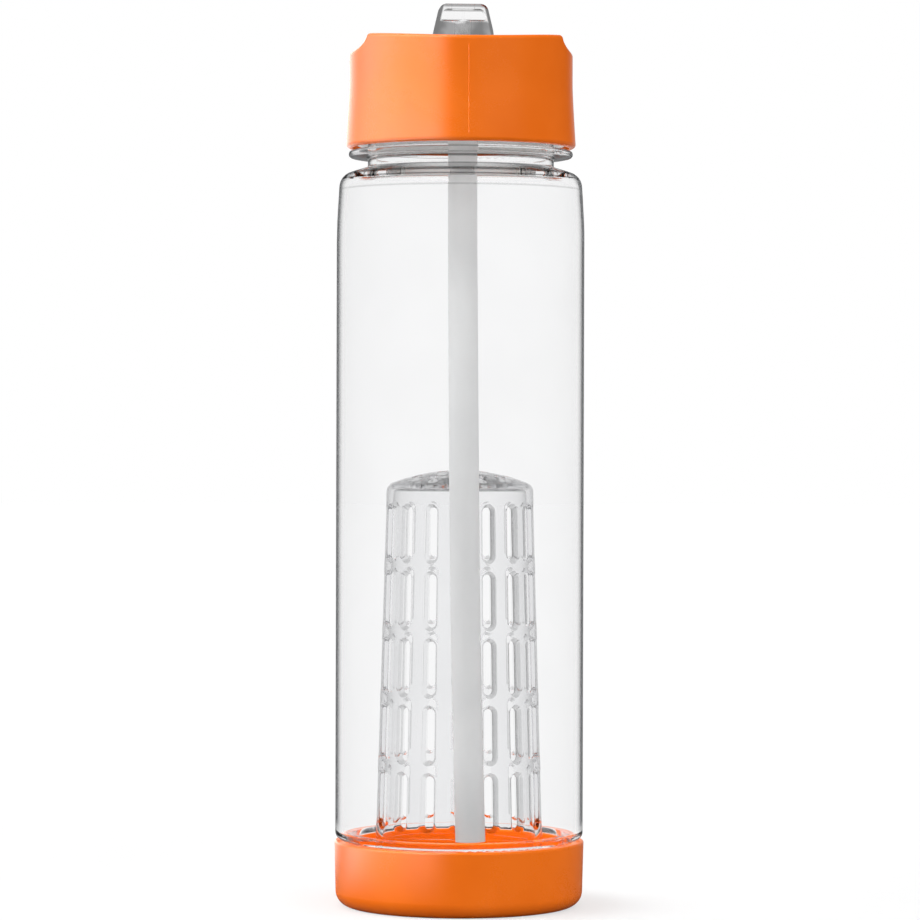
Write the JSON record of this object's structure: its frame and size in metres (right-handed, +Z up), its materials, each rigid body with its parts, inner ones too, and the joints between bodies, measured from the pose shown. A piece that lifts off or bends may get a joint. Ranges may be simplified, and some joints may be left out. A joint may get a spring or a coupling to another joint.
{
  "type": "infuser water bottle",
  "caption": "Clear tubular drinking bottle with a screw-on lid, fold-down spout, hanging straw and a screw-on base that carries a slotted fruit basket.",
  "frame": {"origin": "middle of the resting face under the base", "axes": "+Z up along the bottle's axis; -Y is the front, the side the picture shows"},
  "size_m": [0.0736, 0.0736, 0.2648],
  "materials": {
    "orange_plastic": "satin moulded polypropylene",
    "clear_plastic": "clear polished copolyester",
    "smoke_plastic": "clear copolyester with a grey tint",
    "milky_plastic": "translucent polyethylene tube",
    "natural_plastic": "natural moulded polypropylene",
    "silicone": "matt food-grade silicone"
  },
  "bodies": {
    "base": {"base_cap": "orange_plastic"},
    "basket": {"infuser_basket": "clear_plastic"},
    "base_ring": {"base_seal": "silicone"},
    "bottle": {"bottle_body": "clear_plastic"},
    "lid_ring": {"lid_seal": "silicone"},
    "lid": {"lid_shell": "orange_plastic", "lid_insert": "natural_plastic", "spout_seal": "silicone", "vent_valve": "silicone", "straw": "milky_plastic"},
    "spout": {"flip_spout": "smoke_plastic"}
  },
  "joints": [
    {"name": "basket_twist", "type": "hinge", "parent": "base", "child": "basket", "pos_m": [0, 0, 0.0032], "axis": [0, 0, 1], "range_deg": [0, 60]},
    {"name": "bottle_rise", "type": "slide", "parent": "base", "child": "base_ring", "axis": [0, 0, 1], "range_m": [0, 0.0075]},
    {"name": "bottle_turn", "type": "hinge", "parent": "base_ring", "child": "bottle", "pos_m": [0, 0, 0.0195], "axis": [0, 0, 1], "range_deg": [0, 540]},
    {"name": "lid_rise", "type": "slide", "parent": "bottle", "child": "lid_ring", "axis": [0, 0, 1], "range_m": [0, 0.0075]},
    {"name": "lid_turn", "type": "hinge", "parent": "lid_ring", "child": "lid", "pos_m": [0, 0, 0.236], "axis": [0, 0, 1], "range_deg": [0, 540]},
    {"name": "spout_flip", "type": "hinge", "parent": "lid", "child": "spout", "pos_m": [0, -0.008, 0.2466], "axis": [-1, 0, 0], "range_deg": [0, 90]}
  ],
  "couplings": [
    {"joint": "bottle_rise", "follows": "bottle_turn", "m_per_rad": 0.00079577},
    {"joint": "lid_rise", "follows": "lid_turn", "m_per_rad": 0.00079577}
  ]
}
